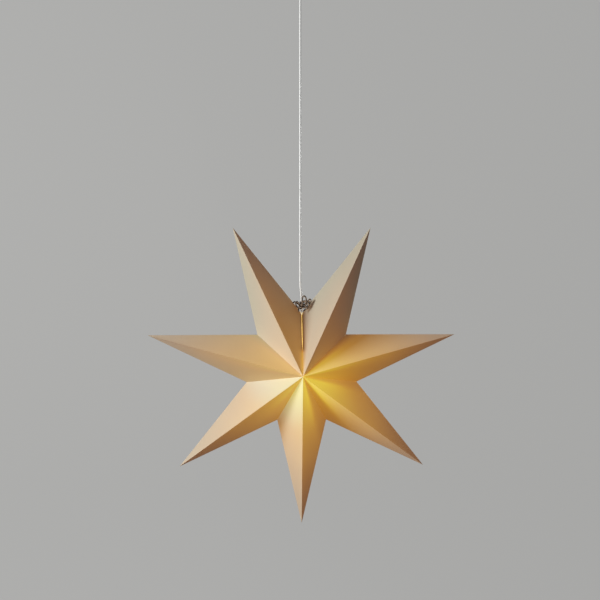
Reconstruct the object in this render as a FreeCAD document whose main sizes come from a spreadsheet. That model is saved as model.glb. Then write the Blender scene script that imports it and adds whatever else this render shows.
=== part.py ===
"""Hanging paper star: seven folded card points glued round a lamp on a pendant cord.

The frame's origin is the middle of the ceiling cup's rim, where the lamp is hung.
+Z is up, the star's front faces -Y, and every size is in millimetres.
"""
import FreeCAD, Part
import math
import os
import re
import Sketcher

Vector = FreeCAD.Vector

doc = FreeCAD.newDocument("paper_star")
sheet = doc.addObject("Spreadsheet::Sheet", "sizes")
aliases = []
pieces = []


# ---------------------------------------------------------------------------
# The driving sizes, one cell each.
# ---------------------------------------------------------------------------
def sizes(**cells):
    """Writes each size into the sheet as a plain number, under its own alias."""
    for name, number in cells.items():
        aliases.append(name)
        row = len(aliases)
        sheet.set(f"A{row}", name)
        sheet.set(f"B{row}", str(number))
        sheet.setAlias(f"B{row}", name)


# The star and where it hangs.
sizes(
    points=7,
    tip_radius=358,
    notch_radius=129,
    half_depth=102,
    card=0.5,
    tab_width=9,
    tab_start=8,
    tab_end=2,
    tab_bevel=12,
    lap_width=11,
    apex_hole=1.6,
    seam_gap=2.2,
    cord_notch=6.4,
    tie_hole=3.8,
    tie_setback=31,
    star_drop=894,
    star_offset=3.5,
)
# The cord and the tie strings. The cord steps aside a little above the notch.
sizes(
    cord_width=4,
    slip=0.3,
    step_top=60,
    step_foot=34,
    string_width=3,
    string_flats=8,
    wrap_pitch=3.5,
    knot_radius=3.6,
    knot_depth=5.7,
)
# The lampholder, with heights above the star's middle.
sizes(
    holder_top=92,
    holder_radius=14,
    holder_wall=1.8,
    neck_radius=5.5,
    neck_height=9,
    cone_height=10,
    cap_skirt=8,
    spigot_height=5,
    barrel_height=18,
    barrel_taper=22,
    barrel_mouth=12.6,
    insert_height=14,
    sleeve_radius=7.9,
    sleeve_wall=0.7,
    sleeve_height=20,
    contact_radius=2,
    contact_height=5.6,
)
# The bulb.
sizes(
    bulb_button=1.6,
    bulb_cone=1.4,
    bulb_cap_height=15,
    bulb_collar=4,
    bulb_neck=9.4,
    bulb_neck_height=11,
    globe_radius=22.5,
)
# The ceiling cup, its crossbar and their screws.
sizes(
    cup_radius=45,
    cup_wall=2,
    cup_height=40,
    cup_straight=28,
    crossbar_width=14,
    crossbar_gauge=1.5,
    crossbar_gap=1,
    ear_length=15,
    fixing_spacing=60,
    fixing_hole=4.5,
    middle_hole=10,
    cup_screw=3,
    cup_screw_drop=9,
    cup_screw_length=9,
    screw_head=6,
    screw_head_height=2,
    screw_slot=0.8,
)
# The terminal block under the crossbar.
sizes(
    block_length=20,
    block_width=15,
    block_height=12,
    block_corner=2,
    cord_entry=5,
    terminal_screw=3,
    terminal_spacing=9,
    terminal_recess=4,
    terminal_screw_length=7,
)
# The cord grip in the cup's floor, its nut and its screw.
sizes(
    grip_thread=9.6,
    grip_thread_spare=2,
    grip_collar=9,
    grip_collar_height=4,
    grip_top=7,
    grip_tip=5.5,
    grip_length=15,
    grip_screw=2.8,
    grip_screw_drop=7,
    nut_flats=15,
    nut_height=3.5,
)
doc.recompute()


# ---------------------------------------------------------------------------
# How expressions, sketches and features are made.
# ---------------------------------------------------------------------------
def named(text):
    """Turns each alias in an expression into a reference to its cell."""
    return re.sub(r"[a-z_]+", lambda word: f"sizes.{word[0]}" if word[0] in aliases else word[0], text)


def value(text):
    """The number that an expression on the sheet's cells gives, in millimetres or degrees."""
    result = sheet.evalExpression(named(text))
    return float(getattr(result, "Value", result))


def bind(thing, path, text):
    """Ties a property to an expression on the sheet's cells."""
    thing.setExpression(path, named(text))


def new_body(label, x="0", z="0"):
    """An empty body, placed by expressions; its label names its file."""
    body = doc.addObject("PartDesign::Body", label)
    body.Label = label
    bind(body, "Placement.Base.x", x)
    bind(body, "Placement.Base.z", z)
    pieces.append(body)
    return body


def new_sketch(body, name, role, height=None):
    """An empty sketch on one of the body's own origin planes, or at a height over it."""
    sketch = body.newObject("Sketcher::SketchObject", f"{body.Name}_{name}")
    plane = next(feature for feature in body.Origin.OriginFeatures if feature.Role == role)
    sketch.AttachmentSupport = [(plane, "")]
    sketch.MapMode = "FlatFace"
    if height is not None:
        bind(sketch, "AttachmentOffset.Base.z", height)
    return sketch


def fix_point(sketch, edge, end, x, y):
    """Holds one point of a sketch at an expression's distance from its origin."""
    for kind, text in (("DistanceX", x), ("DistanceY", y)):
        number = sketch.addConstraint(Sketcher.Constraint(kind, -1, 1, edge, end, value(text)))
        bind(sketch, f"Constraints[{number}]", text)


def fix_radius(sketch, edge, radius):
    """Holds the radius of a circle or an arc at an expression."""
    number = sketch.addConstraint(Sketcher.Constraint("Radius", edge, value(radius)))
    bind(sketch, f"Constraints[{number}]", radius)


def outline(body, name, role, corners, height=None):
    """A closed outline, each corner held by its two expressions.

    A corner is (x, y), or (x, y, radius, side) where an arc runs on to the next corner.
    The side is the one that the arc bulges to, on the way there: "left" or "right".
    """
    sketch = new_sketch(body, name, role, height)
    spots = [Vector(value(corner[0]), value(corner[1]), 0) for corner in corners]
    following = spots[1:] + spots[:1]
    for corner, start, end in zip(corners, spots, following):
        if len(corner) == 2:
            sketch.addGeometry(Part.LineSegment(start, end), False)
            continue
        radius = value(corner[2])
        chord = end - start
        rise = radius - math.sqrt(radius**2 - (chord.Length / 2) ** 2)
        right = Vector(chord.y, -chord.x, 0).normalize()
        bulge = right * rise if corner[3] == "right" else right * -rise
        sketch.addGeometry(Part.Arc(start, (start + end) / 2 + bulge, end), False)
    # An arc's first end is the one it reaches clockwise, which may be its far corner.
    ends = []
    for edge, start in enumerate(spots):
        forward = (sketch.getPoint(edge, 1) - start).Length < 1e-6
        ends.append((1, 2) if forward else (2, 1))
    for edge, corner in enumerate(corners):
        after = (edge + 1) % len(corners)
        joint = Sketcher.Constraint("Coincident", edge, ends[edge][1], after, ends[after][0])
        sketch.addConstraint(joint)
        fix_point(sketch, edge, ends[edge][0], corner[0], corner[1])
        if len(corner) == 4:
            fix_radius(sketch, edge, corner[2])
    return sketch


def circle(body, name, role, radius, x="0", y="0", height=None):
    """A sketch of one circle, its centre and radius held by expressions."""
    sketch = new_sketch(body, name, role, height)
    add_circle(sketch, radius, x, y)
    return sketch


def add_circle(sketch, radius, x, y):
    """Adds a circle to a sketch."""
    centre = Vector(value(x), value(y), 0)
    edge = sketch.addGeometry(Part.Circle(centre, Vector(0, 0, 1), value(radius)), False)
    fix_point(sketch, edge, 3, x, y)
    fix_radius(sketch, edge, radius)


def turn_sketch(sketch, axis, angle):
    """Tilts a sketch's plane about one of its own axes, through its origin."""
    sketch.AttachmentOffset = FreeCAD.Placement(Vector(0, 0, 0), FreeCAD.Rotation(axis, value(angle)))
    bind(sketch, "AttachmentOffset.Rotation.Angle", angle)


def pad(body, name, sketch, length, back=False, both=False):
    """Pads a sketch along its normal, against it, or half to each side."""
    feature = body.newObject("PartDesign::Pad", f"{body.Name}_{name}")
    feature.Profile = sketch
    feature.Reversed = back
    feature.Midplane = both
    bind(feature, "Length", length)


def cut_through(body, name, sketch, both=True, back=False):
    """Cuts a sketch on through the body, and makes sure that something was cut."""
    doc.recompute()
    before = body.Shape.Volume
    feature = body.newObject("PartDesign::Pocket", f"{body.Name}_{name}")
    feature.Profile = sketch
    feature.Type = "ThroughAll"
    feature.Midplane = both
    feature.Reversed = back
    doc.recompute()
    if body.Shape.Volume > before - 0.01:
        raise RuntimeError(f"{feature.Name} cut nothing")


def turned(body, name, corners):
    """Revolves an outline, given as radius and height, about the body's Z axis."""
    sketch = outline(body, f"{name}_outline", "XZ_Plane", corners)
    feature = body.newObject("PartDesign::Revolution", f"{body.Name}_{name}")
    feature.Profile = sketch
    feature.ReferenceAxis = (sketch, ["V_Axis"])
    feature.Angle = 360


def slot_corners(reach):
    """A screwdriver slot right across a screw's head."""
    return [
        (f"-{reach}", "-screw_slot / 2"),
        (reach, "-screw_slot / 2"),
        (reach, "screw_slot / 2"),
        (f"-{reach}", "screw_slot / 2"),
    ]


# ---------------------------------------------------------------------------
# The seven points of the star. Each is one sheet of card, folded into a hollow
# four-sided spike and closed by a glue lap along its back ridge. Tabs folded in
# along the two valleys of each side are glued face to face to the next point's.
# ---------------------------------------------------------------------------
STAR = {"x": "star_offset", "z": "-star_drop"}
POINT_NAMES = ("top_right", "right", "lower_right", "bottom", "lower_left", "left", "top_left")

# Half the angle of a point's share of the circle.
HALF = "(180 deg / points)"
# Where the side folds would meet the plane through the star's middle.
SIDE_REACH = f"(notch_radius * sin({HALF}) * tip_radius / (tip_radius - notch_radius * cos({HALF})))"
# The share by which the spike shrinks for each ply of card under its skin.
PLY = f"(card * sqrt(1 / {SIDE_REACH}^2 + 1 / half_depth^2 + 1 / tip_radius^2))"
INSIDE = f"(1 - {PLY})"
# How far the side folds lean in towards the tip.
LEAN = f"atan({SIDE_REACH} / tip_radius)"
# The length of a valley, from the middle of the front to the notch.
VALLEY = "sqrt(notch_radius^2 + half_depth^2)"


def spike_corners(scale):
    """The spike's section at the star's middle, shrunk to a share of its full size."""
    side = f"{SIDE_REACH} * {scale}"
    front = f"half_depth * {scale}"
    return [(side, "0"), ("0", front), (f"-{side}", "0"), ("0", f"-{front}")]


def lap_corners():
    """The glue lap's section: a strip of second ply inside the back, from the ridge to one side."""
    second = f"(1 - 2 * {PLY})"
    fall = f"half_depth / {SIDE_REACH} * lap_width"
    return [
        ("0", f"half_depth * {INSIDE}"),
        ("0", f"half_depth * {second}"),
        ("-lap_width", f"half_depth * {second} - {fall}"),
        ("-lap_width", f"half_depth * {INSIDE} - {fall}"),
    ]


def loft_to_tip(body, name, kind, corners, tip_height):
    """Lofts an outline at the star's middle to a single point up at the tip."""
    base = outline(body, f"{name}_base", "XY_Plane", corners)
    tip = new_sketch(body, f"{name}_tip", "XY_Plane", tip_height)
    tip.addGeometry(Part.Point(Vector(0, 0, 0)), False)
    tip.addConstraint(Sketcher.Constraint("Coincident", 0, 1, -1, 1))
    feature = body.newObject(kind, f"{body.Name}_{name}")
    feature.Profile = base
    feature.Sections = [tip]
    doc.recompute()


def trim_side(body, name, side, setback):
    """Cuts the spike back to the plane where it meets the next point, or to the open seam."""
    trim = outline(body, f"{name}_trim_outline", "XZ_Plane", [
        (f"-{side} * {setback} / cos({HALF})", "0"),
        (f"{side} * (tip_radius * sin({HALF}) - {setback} * cos({HALF}))",
         f"tip_radius * cos({HALF}) + {setback} * sin({HALF})"),
        (f"{side} * tip_radius", "0"),
    ])
    cut_through(body, f"{name}_trim", trim)


def glue_tab(body, name, side, face, setback):
    """Adds one bevelled tab, folded in along the valley of the front or the back."""
    # A facet stands a little further out where the seam is set back from the valley.
    rise = f"{setback} * half_depth * (cos({HALF}) / {SIDE_REACH} - sin({HALF}) / tip_radius)"
    corners = []
    for along, inward in (
        ("tab_start", "0"),
        (f"({VALLEY} - tab_end)", "0"),
        (f"({VALLEY} - tab_end - tab_bevel)", "tab_width"),
        ("(tab_start + tab_bevel)", "tab_width"),
    ):
        depth = f"half_depth + {rise} - ({along} * half_depth + {inward} * notch_radius) / {VALLEY}"
        radius = f"({along} * notch_radius - {inward} * half_depth) / {VALLEY}"
        corners.append((f"{face} * ({depth})", radius))
    sketch = outline(body, f"{name}_outline", "YZ_Plane", corners)
    turn_sketch(sketch, Vector(1, 0, 0), f"{side} * {HALF}")
    bind(sketch, "AttachmentOffset.Base.y", f"{setback} * sin({HALF})")
    bind(sketch, "AttachmentOffset.Base.z", f"-{side} * {setback} * cos({HALF})")
    pad(body, name, sketch, "card", back=side > 0)


def open_seam(body, side):
    """Makes room for the cord at the notch, and punches the hole for the tie on the side fold."""
    bore = circle(body, "cord_notch", "XY_Plane", "cord_notch / 2")
    turn_sketch(bore, Vector(0, 1, 0), f"{side} * {HALF}")
    cut_through(body, "cord_clearance", bore)
    height = f"notch_radius * cos({HALF} + {LEAN}) + tie_setback"
    hole = circle(body, "tie_hole", "YZ_Plane", "tie_hole / 2", y=height)
    turn_sketch(hole, Vector(1, 0, 0), f"-{side} * {LEAN}")
    cut_through(body, "tie_punch", hole, both=False, back=side > 0)


def star_point(number, name):
    """One point, made upright on its own axis and turned to its place round the star."""
    body = new_body(f"point_{name}", **STAR)
    body.Placement.Rotation = FreeCAD.Rotation(Vector(0, 1, 0), 1)
    bind(body, "Placement.Rotation.Angle", f"({number} + 0.5) * 360 deg / points")
    loft_to_tip(body, "skin", "PartDesign::AdditiveLoft", spike_corners("1"), "tip_radius")
    inner_tip = f"tip_radius * {INSIDE}"
    loft_to_tip(body, "hollow", "PartDesign::SubtractiveLoft", spike_corners(INSIDE), inner_tip)
    loft_to_tip(body, "lap", "PartDesign::AdditiveLoft", lap_corners(), inner_tip)
    seam_side = {0: -1, len(POINT_NAMES) - 1: 1}.get(number, 0)
    for side, side_name in ((-1, "left"), (1, "right")):
        setback = "seam_gap / 2" if side == seam_side else "0"
        trim_side(body, side_name, side, setback)
        glue_tab(body, f"{side_name}_front_tab", side, -1, setback)
        glue_tab(body, f"{side_name}_back_tab", side, 1, setback)
    if seam_side:
        open_seam(body, seam_side)
    else:
        cut_through(body, "apex", circle(body, "apex_outline", "XZ_Plane", "apex_hole / 2"))


for number, name in enumerate(POINT_NAMES):
    star_point(number, name)


# ---------------------------------------------------------------------------
# The lampholder inside the star: a two-part plastic shell on the cord's end,
# with the insert, the threaded sleeve and the centre contact in it.
# ---------------------------------------------------------------------------
BORE = "(cord_width / 2 + slip)"
SHOULDER = "(holder_top - neck_height)"
CONE_FOOT = f"({SHOULDER} - cone_height)"
CAP_RIM = f"({CONE_FOOT} - cap_skirt)"
SPIGOT = "(holder_radius - holder_wall - slip)"
BARREL_BORE = f"({SPIGOT} - holder_wall)"
TAPER_TOP = f"({CAP_RIM} - barrel_height)"
MOUTH = f"({TAPER_TOP} - barrel_taper)"
INSERT_FOOT = f"({CAP_RIM} - insert_height)"

lampholder_cap = new_body("lampholder_cap", **STAR)
turned(lampholder_cap, "shell", [
    (BORE, "holder_top"),
    ("neck_radius", "holder_top"),
    ("neck_radius", SHOULDER),
    ("holder_radius", CONE_FOOT),
    ("holder_radius", CAP_RIM),
    ("holder_radius - holder_wall", CAP_RIM),
    ("holder_radius - holder_wall", CONE_FOOT),
    ("neck_radius", f"{SHOULDER} - holder_wall"),
    (BORE, f"{SHOULDER} - holder_wall"),
])
neck_way = circle(
    lampholder_cap, "screw_way", "YZ_Plane", "grip_screw / 2 + slip / 2", y="holder_top - neck_height / 2")
cut_through(lampholder_cap, "screw_hole", neck_way, both=False, back=True)

turned(new_body("lampholder_barrel", **STAR), "shell", [
    (BARREL_BORE, f"{CAP_RIM} + spigot_height"),
    (SPIGOT, f"{CAP_RIM} + spigot_height"),
    (SPIGOT, CAP_RIM),
    ("holder_radius", CAP_RIM),
    ("holder_radius", TAPER_TOP),
    ("barrel_mouth", MOUTH),
    ("barrel_mouth - holder_wall", MOUTH),
    (BARREL_BORE, TAPER_TOP),
])
turned(new_body("lampholder_insert", **STAR), "block", [
    ("0", CAP_RIM),
    (f"{BARREL_BORE} - slip", CAP_RIM),
    (f"{BARREL_BORE} - slip", INSERT_FOOT),
    ("0", INSERT_FOOT),
])
turned(new_body("lampholder_sleeve", **STAR), "tube", [
    ("contact_radius * 2", INSERT_FOOT),
    ("sleeve_radius", INSERT_FOOT),
    ("sleeve_radius", f"{INSERT_FOOT} - sleeve_height"),
    ("sleeve_radius - sleeve_wall", f"{INSERT_FOOT} - sleeve_height"),
    ("sleeve_radius - sleeve_wall", f"{INSERT_FOOT} - sleeve_wall"),
    ("contact_radius * 2", f"{INSERT_FOOT} - sleeve_wall"),
])
turned(new_body("lampholder_contact", **STAR), "button", [
    ("0", INSERT_FOOT),
    ("contact_radius", INSERT_FOOT),
    ("contact_radius", f"{INSERT_FOOT} - contact_height"),
    ("0", f"{INSERT_FOOT} - contact_height"),
])


# ---------------------------------------------------------------------------
# The frosted globe bulb, sealed, in one solid with its screw cap.
# ---------------------------------------------------------------------------
BULB_TOP = f"({INSERT_FOOT} - contact_height - slip)"
CAP_RADIUS = "(sleeve_radius - sleeve_wall - slip)"
CAP_TOP = f"({BULB_TOP} - bulb_button - bulb_cone)"
CAP_FOOT = f"({CAP_TOP} - bulb_cap_height)"
NECK_FOOT = f"({CAP_FOOT} - bulb_collar - bulb_neck_height)"
GLOBE_FOOT = f"({NECK_FOOT} - sqrt(globe_radius^2 - bulb_neck^2) - globe_radius)"

turned(new_body("bulb", **STAR), "glass", [
    ("0", BULB_TOP),
    ("contact_radius", BULB_TOP),
    ("contact_radius", f"{BULB_TOP} - bulb_button"),
    (CAP_RADIUS, CAP_TOP),
    (CAP_RADIUS, CAP_FOOT),
    ("bulb_neck - slip", f"{CAP_FOOT} - bulb_collar"),
    ("bulb_neck", NECK_FOOT, "globe_radius", "left"),
    ("0", GLOBE_FOOT),
])


# ---------------------------------------------------------------------------
# The ceiling fitting: a crossbar screwed to the ceiling, with the terminal
# block under it, and a cup held to the crossbar's ears by two screws.
# ---------------------------------------------------------------------------
INNER_CUP = "(cup_radius - cup_wall)"
EAR_FACE = f"({INNER_CUP} - crossbar_gap)"
THREAD = "(grip_thread / 2)"
# The cup is straight at the rim, then a quarter circle in to its flat floor.
CUP_CURVE = "(cup_height - cup_straight)"
FLOOR_EDGE = f"(cup_radius - {CUP_CURVE})"

ceiling_cup = new_body("ceiling_cup")
turned(ceiling_cup, "cup", [
    ("cup_radius", "0"),
    ("cup_radius", "-cup_straight", CUP_CURVE, "left"),
    (FLOOR_EDGE, "-cup_height"),
    (f"{THREAD} + slip", "-cup_height"),
    (f"{THREAD} + slip", "cup_wall - cup_height"),
    (FLOOR_EDGE, "cup_wall - cup_height", f"{CUP_CURVE} - cup_wall", "right"),
    (INNER_CUP, "-cup_straight"),
    (INNER_CUP, "0"),
])
for side, name in ((-1, "left"), (1, "right")):
    way = circle(ceiling_cup, f"{name}_way", "YZ_Plane", "cup_screw / 2 + slip", y="-cup_screw_drop")
    cut_through(ceiling_cup, f"{name}_hole", way, both=False, back=side > 0)

crossbar = new_body("crossbar")
strip = outline(crossbar, "strip_outline", "XZ_Plane", [
    (EAR_FACE, "0"),
    (f"-{EAR_FACE}", "0"),
    (f"-{EAR_FACE}", "-ear_length"),
    (f"crossbar_gauge - {EAR_FACE}", "-ear_length"),
    (f"crossbar_gauge - {EAR_FACE}", "-crossbar_gauge"),
    (f"{EAR_FACE} - crossbar_gauge", "-crossbar_gauge"),
    (f"{EAR_FACE} - crossbar_gauge", "-ear_length"),
    (EAR_FACE, "-ear_length"),
])
pad(crossbar, "strip", strip, "crossbar_width", both=True)
holes = circle(crossbar, "holes_outline", "XY_Plane", "middle_hole / 2")
add_circle(holes, "fixing_hole / 2", "fixing_spacing / 2", "0")
add_circle(holes, "fixing_hole / 2", "-fixing_spacing / 2", "0")
cut_through(crossbar, "holes", holes)
ears = circle(crossbar, "ears_outline", "YZ_Plane", "cup_screw / 2 + slip / 2", y="-cup_screw_drop")
cut_through(crossbar, "ear_holes", ears)


def cup_screw(name, side):
    """A slotted cheese-head screw through the cup's wall into one ear."""
    body = new_body(f"cup_screw_{name}", z="-cup_screw_drop")
    seat = f"{side} * cup_radius"
    head = circle(body, "head_outline", "YZ_Plane", "screw_head / 2", height=seat)
    pad(body, "head", head, "screw_head_height", back=side < 0)
    shank = circle(body, "shank_outline", "YZ_Plane", "cup_screw / 2", height=seat)
    pad(body, "shank", shank, "cup_screw_length", back=side > 0)
    slot_floor = f"{side} * (cup_radius + screw_head_height - screw_slot)"
    slot = outline(body, "slot_outline", "YZ_Plane", slot_corners("screw_head"), slot_floor)
    cut_through(body, "slot", slot, both=False, back=side > 0)


for name, side in (("left", -1), ("right", 1)):
    cup_screw(name, side)

# The block plugs into the crossbar's middle hole and is open below for the cord.
terminal_block = new_body("terminal_block", z="-crossbar_gauge")
END = "block_length / 2"
FACE = "block_width / 2"
block = outline(terminal_block, "block_outline", "XY_Plane", [
    (f"{END} - block_corner", f"-{FACE}", "block_corner", "right"),
    (END, f"block_corner - {FACE}"),
    (END, f"{FACE} - block_corner", "block_corner", "right"),
    (f"{END} - block_corner", FACE),
    (f"block_corner - {END}", FACE, "block_corner", "right"),
    (f"-{END}", f"{FACE} - block_corner"),
    (f"-{END}", f"block_corner - {FACE}", "block_corner", "right"),
    (f"block_corner - {END}", f"-{FACE}"),
])
pad(terminal_block, "block", block, "block_height", back=True)
plug = circle(terminal_block, "plug_outline", "XY_Plane", "middle_hole / 2 - slip")
pad(terminal_block, "plug", plug, "crossbar_gauge")
entry = circle(terminal_block, "entry_outline", "XY_Plane", BORE, height="cord_entry - block_height")
cut_through(terminal_block, "entry", entry, both=False, back=False)
GRUB_SEAT = f"{FACE} - terminal_recess - terminal_screw_length"
GRUB_WAY = "terminal_screw / 2 + slip / 2"
GRUB_DROP = "(block_height / 2)"
recesses = circle(
    terminal_block, "recess_outline", "XZ_Plane", GRUB_WAY,
    "terminal_spacing / 2", f"-{GRUB_DROP}", GRUB_SEAT)
add_circle(recesses, GRUB_WAY, "-terminal_spacing / 2", f"-{GRUB_DROP}")
cut_through(terminal_block, "recesses", recesses, both=False, back=True)


def terminal_screw(name, side):
    """A slotted grub screw, sunk in the block's front face."""
    label = f"terminal_screw_{name}"
    body = new_body(label, f"{side} * terminal_spacing / 2", f"-crossbar_gauge - {GRUB_DROP}")
    grub = circle(body, "grub_outline", "XZ_Plane", "terminal_screw / 2", height=GRUB_SEAT)
    pad(body, "grub", grub, "terminal_screw_length")
    slot_floor = f"{FACE} - terminal_recess - screw_slot"
    slot = outline(body, "slot_outline", "XZ_Plane", slot_corners("terminal_screw"), slot_floor)
    cut_through(body, "slot", slot, both=False, back=True)


for name, side in (("left", -1), ("right", 1)):
    terminal_screw(name, side)


# ---------------------------------------------------------------------------
# The cord grip in the cup's floor, its nut inside the cup, and the two nylon
# screws that pinch the cord, in this grip and in the lampholder's neck.
# ---------------------------------------------------------------------------
GRIP_FOOT = "(-grip_collar_height - grip_length)"
GRIP_WAY = "(-grip_collar_height - grip_screw_drop)"

cord_grip = new_body("cord_grip", z="-cup_height")
turned(cord_grip, "bush", [
    (BORE, "cup_wall + nut_height + grip_thread_spare"),
    (THREAD, "cup_wall + nut_height + grip_thread_spare"),
    (THREAD, "0"),
    ("grip_collar", "0"),
    ("grip_collar", "-grip_collar_height"),
    ("grip_top", "-grip_collar_height"),
    ("grip_tip", GRIP_FOOT),
    (BORE, GRIP_FOOT),
])
grip_way = circle(cord_grip, "screw_way", "YZ_Plane", "grip_screw / 2 + slip / 2", y=GRIP_WAY)
cut_through(cord_grip, "screw_hole", grip_way, both=False, back=True)

grip_nut = new_body("grip_nut", z="cup_wall - cup_height")
NUT_REACH = "nut_flats / (2 * cos(30 deg))"
hexagon = [
    (f"{NUT_REACH} * cos({turn} deg)", f"{NUT_REACH} * sin({turn} deg)") for turn in range(30, 390, 60)]
pad(grip_nut, "hexagon", outline(grip_nut, "hexagon_outline", "XY_Plane", hexagon), "nut_height")
cut_through(grip_nut, "thread", circle(grip_nut, "thread_outline", "XY_Plane", f"{THREAD} + slip / 2"))


def pinch_screw(label, x, z, seat):
    """A slotted nylon screw whose tip bears on the cord, with its head at seat."""
    body = new_body(label, x, z)
    tip = "(cord_width / 2 + slip / 2)"
    shank = circle(body, "shank_outline", "YZ_Plane", "grip_screw / 2", height=tip)
    pad(body, "shank", shank, f"{seat} - {tip} + screw_head_height")
    head = circle(body, "head_outline", "YZ_Plane", "grip_screw", height=seat)
    pad(body, "head", head, "screw_head_height")
    slot_floor = f"{seat} + screw_head_height - screw_slot"
    slot = outline(body, "slot_outline", "YZ_Plane", slot_corners("screw_head"), slot_floor)
    cut_through(body, "slot", slot, both=False, back=True)


pinch_screw("grip_screw", "0", f"{GRIP_WAY} - cup_height", "grip_top + slip")
pinch_screw(
    "lampholder_screw", "star_offset", "holder_top - neck_height / 2 - star_drop", "neck_radius + slip")


# ---------------------------------------------------------------------------
# The pendant cord and the two tie strings. Their routes are given from the notch
# between the two end points: x to the right, y to the back and z up.
# ---------------------------------------------------------------------------
def rounded_route(points, fillet=0.45):
    """Straight runs joined by tangent arcs, each as large as its shorter run allows."""
    edges = []
    radii = []
    start = points[0]
    for before, corner, after in zip(points, points[1:], points[2:]):
        arriving = (corner - before).normalize()
        leaving = (after - corner).normalize()
        half_turn = arriving.getAngle(leaving) / 2
        reach = fillet * min((corner - before).Length, (after - corner).Length)
        radius = reach / math.tan(half_turn)
        middle = corner + (leaving - arriving).normalize() * (radius / math.cos(half_turn) - radius)
        end = corner + leaving * reach
        edges.append(Part.LineSegment(start, corner - arriving * reach).toShape())
        edges.append(Part.Arc(corner - arriving * reach, middle, end).toShape())
        radii.append(round(radius, 1))
        start = end
    edges.append(Part.LineSegment(start, points[-1]).toShape())
    return Part.Wire(edges), radii


def swept(label, points, section):
    """Sweeps a section along a route, and prints what it came to."""
    path, radii = rounded_route(points)
    solid = path.makePipeShell([section], True, True)
    stated = Part.Face(section).Area * path.Length
    print(f"{label}: {path.Length:.1f} long, volume {solid.Volume / stated:.4f} of stated, radii {radii}")
    return solid


def hung_piece(label, solid):
    """A piece made round the notch, as an object of its own in its place."""
    piece = doc.addObject("Part::Feature", label)
    piece.Label = label
    piece.Shape = solid
    notch = Vector(value("star_offset"), 0, value("notch_radius - star_drop"))
    piece.Placement = FreeCAD.Placement(notch, FreeCAD.Rotation())
    pieces.append(piece)


CORD_TOP = "star_drop - notch_radius - crossbar_gauge - block_height + cord_entry"
cord_route = [
    Vector(value("-star_offset"), 0, value(CORD_TOP)),
    Vector(value("-star_offset"), 0, value("step_top")),
    Vector(0, 0, value("step_foot")),
    Vector(0, 0, value(f"{CAP_RIM} - notch_radius")),
]
cord_section = Part.Wire(Part.makeCircle(value("cord_width") / 2, cord_route[0]))
hung_piece("cord", swept("cord", cord_route, cord_section))


def way_through_hole(side, outward):
    """A point on the middle line of an end point's tie hole, so far outside its side fold."""
    fold = value(f"{HALF} + {LEAN}")
    along = Vector(side * math.sin(math.radians(fold)), 0, math.cos(math.radians(fold)))
    out = Vector(-side * along.z, 0, side * along.x)
    return along * value("tie_setback") + out * outward


def wraps(side, turns, top, steps=8):
    """Turns of a string round the cord, from behind it, downwards to its front."""
    # The string follows the middles of the chords, so its corners stand further out.
    radius = value("cord_width / 2 + string_width / 2 + slip / 2") / math.cos(math.pi / steps)
    points = []
    for step in range(round(turns * steps) + 1):
        angle = math.pi + side * 2 * math.pi * step / steps
        height = top - value("wrap_pitch") * step / steps
        points.append(Vector(radius * math.sin(angle), -radius * math.cos(angle), height))
    return points


def string_section(start, toward):
    """The string's section, with flats in place of its round side."""
    along = (toward - start).normalize()
    across = along.cross(Vector(0, 1, 0)).normalize() * (value("string_width") / 2)
    flats = round(value("string_flats"))
    corners = []
    for corner in range(flats + 1):
        turn = FreeCAD.Rotation(along, 360 * corner / flats)
        corners.append(start + turn.multVec(across))
    return Part.makePolygon(corners)


def tie_string(name, side, wrapped_from, across, bow):
    """A tie string: a stopper knot inside its point, out by the hole, round the cord, and the bow."""
    knot_middle = way_through_hole(side, -value("knot_depth"))
    route = [knot_middle, way_through_hole(side, 5), across]
    route += wraps(side, 1.5, wrapped_from)
    route += [Vector(*spot) for spot in bow]
    knot = Part.makeSphere(value("knot_radius"), knot_middle)
    string = swept(f"tie_string_{name}", route, string_section(route[0], route[1]))
    hung_piece(f"tie_string_{name}", string.fuse(knot).removeSplitter().Solids[0])


# Three bows to the right, each in front of the last, and the tail down in front.
tie_string("right", 1, 26, Vector(9, 4, 28), [
    (6, -5.8, 19), (11, -6.2, 26), (9.5, -6.6, 36.5), (4.5, -7, 41), (0.8, -7.4, 35.5),
    (0.5, -7.8, 28), (-1.8, -8.4, 20), (2, -9.2, 14), (9, -9.6, 18), (13.5, -10, 26),
    (16.5, -10.4, 33.5), (21, -10.8, 31), (19, -11.2, 23), (12, -11.7, 16), (4, -12.3, 12.5),
    (-1.5, -12.6, 16), (0.5, -12.9, 22), (6, -13.3, 27), (11.5, -13.8, 29), (15, -14.5, 24),
    (14, -15.1, 16.5), (9.5, -15.5, 10.5), (3, -15.8, 7),
])
# One bow to the left, and its tail.
tie_string("left", -1, 17.5, Vector(-9, 4, 20.5), [
    (-5, -5.6, 10.5), (-11, -6, 15), (-15, -6.6, 23), (-11, -7.4, 28), (-6.5, -8.2, 23),
    (-5.5, -8.8, 15.5), (-8, -9.3, 9), (-7, -9.6, 3.5),
])


# ---------------------------------------------------------------------------
# Every object is checked, and each piece goes to its own file.
# ---------------------------------------------------------------------------
doc.recompute()
for thing in doc.Objects:
    if "Invalid" in thing.State or "Error" in thing.State:
        raise RuntimeError(f"{thing.Name} failed: {thing.State}")
for piece in pieces:
    if piece.Shape.isNull() or not piece.Shape.isValid() or len(piece.Shape.Solids) != 1:
        raise RuntimeError(f"{piece.Label} isn't one valid solid")

os.makedirs("parts", exist_ok=True)
for piece in pieces:
    piece.Shape.exportStep(f"parts/{piece.Label}.step")
print(f"{len(pieces)} pieces written")
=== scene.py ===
"""The looks of a hanging paper star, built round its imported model.

The sections follow the lamp as it is put together: the folded points, the lampholder and
bulb inside them, the ceiling fitting, the flex, the tie strings, and then the studio.
"""

import bmesh
import bpy
import math
from mathutils import Matrix, Vector


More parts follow.
